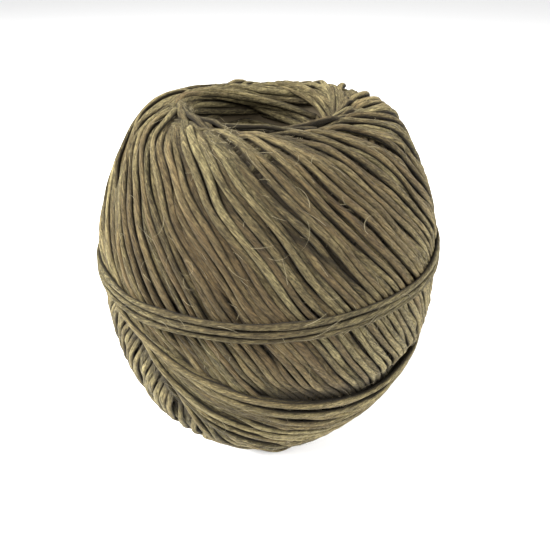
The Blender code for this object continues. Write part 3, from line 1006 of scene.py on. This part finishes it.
plain_roots = fibre_roots(FIBRE_COUNT)
plain_roots[:, 3] += rng.choice([0, np.pi], FIBRE_COUNT) + rng.normal(0, FIBRE_ASIDE, FIBRE_COUNT)
curled_roots = curled_fibre_roots()
tuft_roots = tuft_fibre_roots()
roots = np.concatenate([plain_roots, curled_roots, tuft_roots])
print(f"{len(roots)} fibres start on the strands")

# %% [markdown]
# ## How a fibre grows
# A fibre lifts off slowly and bends one way, like a hair. Each gets its own length, curl and rise, and all
# grow at once, as one array with a row for each fibre.

# %% Grow the loose fibres
FIBRE_POINTS = 9
FIBRE_RADIUS = (0.018, 0.034)  # mm, at the root
FIBRE_TAPER = 0.7  # the share of the radius that is gone at the tip
FIBRE_LENGTH, TUFT_LENGTH = (1.2, 4.5), (0.8, 2.2)  # mm
FIBRE_CURL, TUFT_CURL = 0.7, 1.6  # radians from root to tip
FIBRE_RISE, CURLED_RISE, TUFT_RISE = (0.05, 0.2), 0.5, (0.1, 1.0)  # mm
FIBRE_PHASE = 1.9  # as for the strands
SEAM_CLEAR = 1.0  # mm along the outline that fibres keep from its two ends


def grow_fibres(root, length, curl, rise):
    """Fibres as tubes. Their heading turns steadily from root to tip, and their place is the sum of steps.

    With t from 0 at the root to 1 at the tip: heading = start + curl * t, height = root + rise * t^1.5, and
    the radius falls with t^2.
    """
    count = len(root)
    t = np.linspace(0, 1, FIBRE_POINTS)
    same = np.ones((count, FIBRE_POINTS))
    heading = root[:, 3:] + curl[:, None] * t
    step = (length / (FIBRE_POINTS - 1))[:, None]
    s = root[:, :1] + np.cumsum(step * np.cos(heading), axis=1)
    s = np.clip(s, SEAM_CLEAR, section_s[-1] - SEAM_CLEAR)
    angle = root[:, 1:2] + np.cumsum(step * np.sin(heading), axis=1) / at_s(section_r, root[:, :1])
    path = on_ball(s, angle, root[:, 2:3] + rise[:, None] * t**1.5)
    out, side = tube_sides(path, s, angle)
    radius = (rng.uniform(*FIBRE_RADIUS, count)[:, None] * (1.0 - FIBRE_TAPER * t**2)).ravel()
    number = np.arange(count)[:, None] * same
    own = [rng.normal(0, 1, count)[:, None] * same for _ in range(2)]
    shade = rows_of(np.stack([*own, number * FIBRE_PHASE, 0 * same], axis=-1))
    where = rows_of(path), rows_of(out), rows_of(side)
    along = (length[:, None] * t).ravel()
    return tube_piece("loose_fibres", 3, *where, radius, radius, number.ravel(), along, shade)


_, _, curled_lengths, curled_curls = np.array(CURLED).T
in_tufts = len(tuft_roots)
plain_lengths, tuft_lengths = rng.uniform(*FIBRE_LENGTH, FIBRE_COUNT), rng.uniform(*TUFT_LENGTH, in_tufts)
plain_curls, tuft_curls = rng.normal(0, FIBRE_CURL, FIBRE_COUNT), rng.normal(0, TUFT_CURL, in_tufts)
plain_rises, tuft_rises = np.abs(rng.normal(*FIBRE_RISE, FIBRE_COUNT)), rng.uniform(*TUFT_RISE, in_tufts)
lengths = np.concatenate([plain_lengths, curled_lengths, tuft_lengths])
curls = np.concatenate([plain_curls, curled_curls, tuft_curls])
rises = np.concatenate([plain_rises, np.full(len(CURLED), CURLED_RISE), tuft_rises])
loose_fibres = grow_fibres(roots, lengths, curls, rises)
pieces.append(loose_fibres)

# %% [markdown]
# ## The look of hemp
# Hemp fibres lie nearly along the strand, so its colour and its fine relief are streaks: noise read round
# the strand quickly and along it slowly, from its own UV map. A painted texture would repeat, and noise
# doesn't. Thin dark lines part the bundles of fibres. Each strand also has its own shade, from pale straw
# to olive and warm brown, and one stretch on the front is browner and darker.

# %% Make short ways to add nodes
class NodeMaker:
    """Adds nodes to one material. An input takes a number, a colour or another node's output."""

    def __init__(self, material):
        self.nodes, self.links = material.node_tree.nodes, material.node_tree.links

    def fill(self, socket, value):
        """Links another node's output to the input, or sets it to the number or colour."""
        if hasattr(value, "links"):
            self.links.new(value, socket)
        else:
            socket.default_value = value

    def node(self, kind, settings=(), **inputs):
        """A node with its settings and inputs. An input has its Blender name, or an i and its number."""
        made = self.nodes.new(kind)
        for key, value in dict(settings).items():
            setattr(made, key, value)
        for key, value in inputs.items():
            self.fill(made.inputs[int(key[1:])] if key[1:].isdigit() else made.inputs[key], value)
        return made

    def maths(self, operation, a, b=0.0):
        """One step of arithmetic on one or two values."""
        return self.node("ShaderNodeMath", {"operation": operation}, i0=a, i1=b).outputs[0]

    def times(self, a, b):
        """Both values multiplied."""
        return self.maths("MULTIPLY", a, b)

    def blend(self, first, *others):
        """The sum of each value times its share."""
        total = self.times(*first)
        return self.maths("ADD", total, self.blend(*others)) if others else total

    def dimmed(self, value, least, more):
        """A factor: least where the value is 0, and least + more where it is 1."""
        return self.maths("ADD", least, self.times(value, more))

    def spread(self, value, low, high):
        """The value from low to high, spread over 0 to 1."""
        limits = {"From Min": low, "From Max": high}
        return self.node("ShaderNodeMapRange", {"clamp": True}, Value=value, **limits).outputs[0]

    def mixed(self, factor, a, b):
        """Colour a where the factor is 0, and colour b where it is 1."""
        made = self.nodes.new("ShaderNodeMix")
        made.data_type = "RGBA"
        for number, value in ((0, factor), (6, a), (7, b)):
            self.fill(made.inputs[number], value)
        return made.outputs[2]


print("ready to add nodes:", ", ".join(key for key in vars(NodeMaker) if not key.startswith("_")))

# %% [markdown]
# ## Mixing the twine's colour
# The tone goes from dark to pale with the finest streaks. Patches of warmth turn it brown. Then painted
# shadow takes over at a strand's sides, where it rounds away from its neighbours, and on strands that lie
# deep, because light that has bounced between dark fibres comes out darker than a render works out on its
# own: that shade is painted into the colour.

# %% Make the twine material
PALE = (0.278, 0.230, 0.108, 1.0)
DARK = (0.036, 0.028, 0.011, 1.0)
BROWN = (0.158, 0.108, 0.047, 1.0)
DARK_BROWN = tuple(0.3 * part for part in BROWN[:3]) + (1.0,)
# painted shadow: the shade at strands' sides, on deep strands and down the hole; it also darkens the brown
# stretch
PAINTED_SHADOW = (0.010, 0.007, 0.003, 1.0)
BROWNEST = (0.002, -0.030, 0.064)  # m, the middle of a browner stretch of the twine, on the front
BROWN_REACH = (0.038, 0.012)  # m from that middle, where the brown starts, and where it is full
FINE, COARSE = (2.8, 1.0, 6.0), (0.7, 0.12, 2.0)  # how quick round the strand, and for each mm, and detail
TINT, BUNDLES = (1.9, 0.55, 5.0), (1.3, 0.11, 2.0)
STREAK_ROUGHNESS = 0.68
STREAK_TWIST = 0.22  # radians round for each mm along, so that the fibres run a little slantwise
BUNDLE_EDGE = 0.05  # how far the noise is from its middle value where a line between bundles ends
SPECK_SCALE, AREA_SCALE = 2300.0, 32.0  # per m: specks under half a millimetre, patches of some centimetres
TONE_RANGE, WARM_RANGE = (0.385, 0.625), (0.48, 0.74)  # the values that are spread over 0 to 1
# the first range sets where painted shade at a strand's sides fades in round it
SIDE_SHADE_RANGE, SPECK_RANGE = (-0.05, 0.74), (0.36, 0.64)
BUNDLE_DIM, SPECK_DIM = (0.45, 0.55), (0.83, 0.34)  # what the tone is multiplied by: least, and more
# at the sides and deep down this is painted shade; on the brown stretch it only darkens the twine
SIDE_PAINTED_SHADE, DEEP_PAINTED_SHADE, BROWN_DARK = 0.92, 0.88, 0.42  # how far the painted shadow colour takes over
TONE_SHARES = (0.03, 0.9, 0.1)  # of the strand's own tone, the fine streaks and the coarse ones
WARM_SHARES = (0.06, 0.4, 0.3, 0.3, 0.16)  # of its own warmth, two streaks, the patches and BROWNEST
BUMP_HEIGHT = 0.0004  # m
BUNDLE_RELIEF = 0.35  # how deep the lines between bundles are, beside the streaks
SOFT_FINISH = {
    "Roughness": 0.78,
    "Specular IOR Level": 0.12,
    "Sheen Weight": 0.02,
    "Sheen Roughness": 0.5,
}


def twine_material(name):
    """Colour: dark to pale by the tone, brown where it is warm, then painted shadow at the sides and deep
    down.
    """
    material = bpy.data.materials.new(name)
    material.use_nodes = True
    shader = material.node_tree.nodes["Principled BSDF"]
    make = NodeMaker(material)
    uv = make.node("ShaderNodeUVMap", {"uv_map": "strand_uv"}).outputs[0]
    round_strand, along_strand, _ = make.node("ShaderNodeSeparateXYZ", i0=uv).outputs
    strand = make.node("ShaderNodeAttribute", {"attribute_name": "strand"})
    painted_deep_shade = strand.outputs["Alpha"]
    own_tone, own_warmth, own_start = make.node("ShaderNodeSeparateColor", i0=strand.outputs["Color"]).outputs
    where = make.node("ShaderNodeTexCoord").outputs["Object"]
    circle = make.times(round_strand, 2 * np.pi)
    turned = make.maths("ADD", circle, make.times(along_strand, STREAK_TWIST))

    def streaks(fineness, stretch, detail):
        """Noise on a long cylinder: the place round the strand is on its circle, so there is no seam."""
        x, y = (make.times(make.maths(part, turned), fineness) for part in ("COSINE", "SINE"))
        place = make.node("ShaderNodeCombineXYZ", i0=x, i1=y, i2=make.times(along_strand, stretch)).outputs[0]
        look = {"W": own_start, "Scale": 1.0, "Detail": detail, "Roughness": STREAK_ROUGHNESS}
        return make.node("ShaderNodeTexNoise", {"noise_dimensions": "4D"}, Vector=place, **look).outputs[0]

    fine, coarse, tint = streaks(*FINE), streaks(*COARSE), streaks(*TINT)
    off_middle = make.maths("ABSOLUTE", make.maths("SUBTRACT", streaks(*BUNDLES), 0.5))
    bundles = make.spread(off_middle, 0.0, BUNDLE_EDGE)
    on_top = make.spread(make.maths("SINE", circle), *SIDE_SHADE_RANGE)
    speck = make.node("ShaderNodeTexNoise", Vector=where, Scale=SPECK_SCALE, Detail=3.0).outputs[0]
    area = make.node("ShaderNodeTexNoise", Vector=where, Scale=AREA_SCALE, Detail=1.0).outputs[0]
    away = make.node("ShaderNodeVectorMath", {"operation": "DISTANCE"}, i0=where, i1=BROWNEST)
    brown_here = make.spread(away.outputs["Value"], *BROWN_REACH)

    tone = make.spread(make.blend(*zip((own_tone, fine, coarse), TONE_SHARES)), *TONE_RANGE)
    tone = make.times(tone, make.dimmed(bundles, *BUNDLE_DIM))
    tone = make.times(tone, make.dimmed(make.spread(speck, *SPECK_RANGE), *SPECK_DIM))
    warmth = make.blend(*zip((own_warmth, coarse, tint, area, brown_here), WARM_SHARES))
    olive, brown = make.mixed(tone, DARK, PALE), make.mixed(tone, DARK_BROWN, BROWN)
    colour = make.mixed(make.spread(warmth, *WARM_RANGE), olive, brown)
    painted_side_shade = make.maths("SUBTRACT", 1.0, on_top)
    # the painted shadow darkens the brown stretch, and paints shade on strands' sides and on deep strands
    for place, share in ((brown_here, BROWN_DARK), (painted_side_shade, SIDE_PAINTED_SHADE), (painted_deep_shade, DEEP_PAINTED_SHADE)):
        colour = make.mixed(make.times(place, share), colour, PAINTED_SHADOW)
    make.links.new(colour, shader.inputs["Base Color"])
    relief = make.maths("ADD", fine, make.times(bundles, BUNDLE_RELIEF))
    bump = make.node("ShaderNodeBump", Strength=1.0, Distance=BUMP_HEIGHT, Height=relief)
    make.links.new(bump.outputs[0], shader.inputs["Normal"])
    for key, value in SOFT_FINISH.items():
        shader.inputs[key].default_value = value
    print(f"{name}: {len(make.nodes)} nodes")
    return material


hemp = twine_material("hemp_twine")

# %% [markdown]
# ## The plain finishes, and where each piece belongs
# The body under the strands is only ever seen in their shadow, and a fibre is thinner than any pattern, so
# one plain colour of painted shade and one pale plain colour do for them. All pieces ride on the ball and
# stand for its solid.

# %% Give the pieces their finishes
# painted shade: the body's dark colour stands for older twine seen only in shadow
BODY_PAINTED_SHADE = (0.05, 0.037, 0.018, 1.0)
FIBRE = (0.21, 0.175, 0.10, 1.0)


def plain_material(name, colour, roughness):
    """One colour and one roughness."""
    material = bpy.data.materials.new(name)
    material.use_nodes = True
    shader = material.node_tree.nodes["Principled BSDF"]
    shader.inputs["Base Color"].default_value = colour
    shader.inputs["Roughness"].default_value = roughness
    return material


plain_finishes = {
    wound_body: plain_material("hemp_painted_shade", BODY_PAINTED_SHADE, 0.95),
    loose_fibres: plain_material("hemp_fibre", FIBRE, 0.7),
}
for piece in pieces:
    piece.data.materials.append(plain_finishes.get(piece, hemp))
    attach(piece, "root")
    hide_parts("twine_ball")
print(f"{len(pieces)} pieces ride on the ball")

# %% [markdown]
# ## Floor and light
# A plain white table, and soft light: a broad lamp high on the left, a weaker one on the right, and an even
# white sky. Broad lamps are what a studio's soft boxes give, so the shadows between the strands have soft
# edges.

# %% Set the floor and the lights
TABLE_WHITE = (0.93, 0.93, 0.93, 1.0)
TABLE_HALF_SIDE = 6.0  # m
LAMPS = {  # place in m, size in m and power in W
    "key_light": ((-0.37, -0.12, 0.48), 0.45, 14.5),
    "fill_light": ((0.42, -0.12, 0.22), 0.50, 4.5),
}
SKY_STRENGTH = 0.84
ball_middle = (0.0, 0.0, BALL_HEIGHT / 2 * MM)


def flat_square(name, half_side):
    """A square on the ground, facing up."""
    mesh = bpy.data.meshes.new(name)
    corners = [(x * half_side, y * half_side, 0.0) for x, y in ((-1, -1), (1, -1), (1, 1), (-1, 1))]
    mesh.from_pydata(corners, [], [(0, 1, 2, 3)])
    square = bpy.data.objects.new(name, mesh)
    bpy.context.scene.collection.objects.link(square)
    return square


def soft_light(name, place, aim_at, size, power):
    """A round lamp, "size" m across, that faces a point."""
    light = bpy.data.lights.new(name, "AREA")
    light.shape = "DISK"
    light.size = size
    light.energy = power
    lamp = bpy.data.objects.new(name, light)
    lamp.location = place
    lamp.rotation_euler = (Vector(aim_at) - Vector(place)).to_track_quat("-Z", "Y").to_euler()
    bpy.context.scene.collection.objects.link(lamp)
    return lamp


floor = flat_square("floor", TABLE_HALF_SIDE)
floor.data.materials.append(plain_material("white_table", TABLE_WHITE, 0.6))
floor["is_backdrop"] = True
for name, (place, size, power) in LAMPS.items():
    soft_light(name, place, ball_middle, size, power)
world = bpy.data.worlds.new("studio")
world.use_nodes = True
sky = world.node_tree.nodes["Background"]
sky.inputs["Color"].default_value = (1.0, 1.0, 1.0, 1.0)
sky.inputs["Strength"].default_value = SKY_STRENGTH
bpy.context.scene.world = world
bpy.context.scene.view_settings.view_transform = "Standard"
print(f"the table is {2 * TABLE_HALF_SIDE:.0f} m wide")

# %% [markdown]
# ## The size and the triangles
# The drawn ball must stay close to the packed solid, so its bounds are printed, with its triangles.

# %% Write the sizes and finish
bpy.context.view_layer.update()
drawn_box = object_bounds()
triangles = sum(len(piece.data.loops) - 2 * len(piece.data.polygons) for piece in pieces)
print(f"{triangles} triangles in all")
drawn_low, drawn_high = (np.round(np.array(corner) / MM, 1) for corner in drawn_box)
print("drawn from", drawn_low, "to", drawn_high, "mm")
